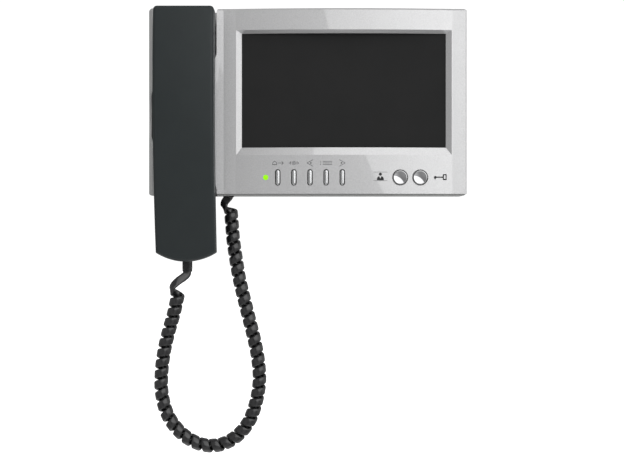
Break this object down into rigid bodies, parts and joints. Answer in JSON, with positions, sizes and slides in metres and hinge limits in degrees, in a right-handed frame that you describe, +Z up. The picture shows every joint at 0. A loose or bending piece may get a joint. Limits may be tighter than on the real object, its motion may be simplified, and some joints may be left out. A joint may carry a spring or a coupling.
{
  "type": "video intercom monitor",
  "caption": "Wall-mounted video intercom monitor: silver bowed fascia with a wide dark screen, key row and round keys below, and a dark handset on the left with a curly cord.",
  "frame": {"origin": "centre of the wall bracket's four screw holes, on the wall plane", "axes": "+X to the viewer's right, +Y into the wall, +Z up; the screen faces -Y"},
  "size_m": [0.241, 0.06, 0.3368],
  "materials": {
    "bracket_steel": "zinc-plated, satin",
    "zinc": "zinc-plated",
    "housing_rear": "fine texture",
    "housing_silver": "silver, satin",
    "fascia_silver": "silver metallic lacquer, semi-gloss",
    "window_dark": "smoked, semi-gloss",
    "foam": "felted",
    "lcd_dark": "dark",
    "tray_steel": "bright",
    "film": "polyimide",
    "board_green": "solder mask",
    "component_black": "moulded",
    "terminal_green": "moulded",
    "led_clear": "clear",
    "led_lens": "lit green, clear",
    "ring_grey": "satin",
    "speaker_dark": "paper and steel",
    "pad_rubber": "matte",
    "cord_black": "satin",
    "key_chrome": "polished",
    "plunger_white": "moulded",
    "handset_dark": "fine texture",
    "weight_iron": "plain"
  },
  "bodies": {
    "monitor": {"wall_bracket": "bracket_steel", "lock_screw": "zinc", "rear_housing": "housing_rear", "front_housing": "housing_silver", "fascia": "fascia_silver", "display_window": "window_dark", "window_gasket": "foam", "lcd_panel": "lcd_dark", "lcd_frame": "tray_steel", "display_ribbon": "film", "main_board": "board_green", "board_parts": "component_black", "terminal_block": "terminal_green", "terminal_screws": "zinc", "key_board": "board_green", "tact_switches": "component_black", "status_led": "led_clear", "led_lens": "led_lens", "view_key_ring": "ring_grey", "door_key_ring": "ring_grey", "loudspeaker": "speaker_dark", "hook_switch": "component_black", "housing_screws": "zinc", "board_screws": "zinc", "fascia_screws": "zinc", "cradle_pads": "pad_rubber", "base_grommet": "cord_black", "cord_base_tail": "cord_black", "cord_coil": "cord_black", "cord_handset_tail": "cord_black"},
    "handset": {"handset_cover": "handset_dark", "handset_back": "handset_dark", "earpiece": "speaker_dark", "earpiece_felt": "foam", "microphone": "tray_steel", "microphone_boot": "pad_rubber", "handset_weight": "weight_iron", "handset_screw": "zinc", "handset_grommet": "cord_black"},
    "away_key": {"away_key": "key_chrome"},
    "record_key": {"record_key": "key_chrome"},
    "left_key": {"left_key": "key_chrome"},
    "menu_key": {"menu_key": "key_chrome"},
    "right_key": {"right_key": "key_chrome"},
    "view_key": {"view_key": "key_chrome"},
    "door_key": {"door_key": "key_chrome"},
    "hook_plunger": {"hook_plunger": "plunger_white"}
  },
  "joints": [
    {"name": "away_press", "type": "slide", "parent": "monitor", "child": "away_key", "axis": [0, 1, 0], "range_m": [0, 0.001], "stiffness_N_per_m": 1200},
    {"name": "record_press", "type": "slide", "parent": "monitor", "child": "record_key", "axis": [0, 1, 0], "range_m": [0, 0.001], "stiffness_N_per_m": 1200},
    {"name": "left_press", "type": "slide", "parent": "monitor", "child": "left_key", "axis": [0, 1, 0], "range_m": [0, 0.001], "stiffness_N_per_m": 1200},
    {"name": "menu_press", "type": "slide", "parent": "monitor", "child": "menu_key", "axis": [0, 1, 0], "range_m": [0, 0.001], "stiffness_N_per_m": 1200},
    {"name": "right_press", "type": "slide", "parent": "monitor", "child": "right_key", "axis": [0, 1, 0], "range_m": [0, 0.001], "stiffness_N_per_m": 1200},
    {"name": "view_press", "type": "slide", "parent": "monitor", "child": "view_key", "axis": [0, 1, 0], "range_m": [0, 0.001], "stiffness_N_per_m": 1200},
    {"name": "door_press", "type": "slide", "parent": "monitor", "child": "door_key", "axis": [0, 1, 0], "range_m": [0, 0.001], "stiffness_N_per_m": 1200},
    {"name": "handset_lift", "type": "slide", "parent": "monitor", "child": "handset", "axis": [0, -0.866, 0.5], "range_m": [0, 0.06]},
    {"name": "hook_release", "type": "slide", "parent": "monitor", "child": "hook_plunger", "axis": [0, -1, 0], "range_m": [0, 0.0031]}
  ],
  "couplings": [
    {"joint": "hook_release", "follows": "handset_lift", "ratio": 0.05}
  ]
}
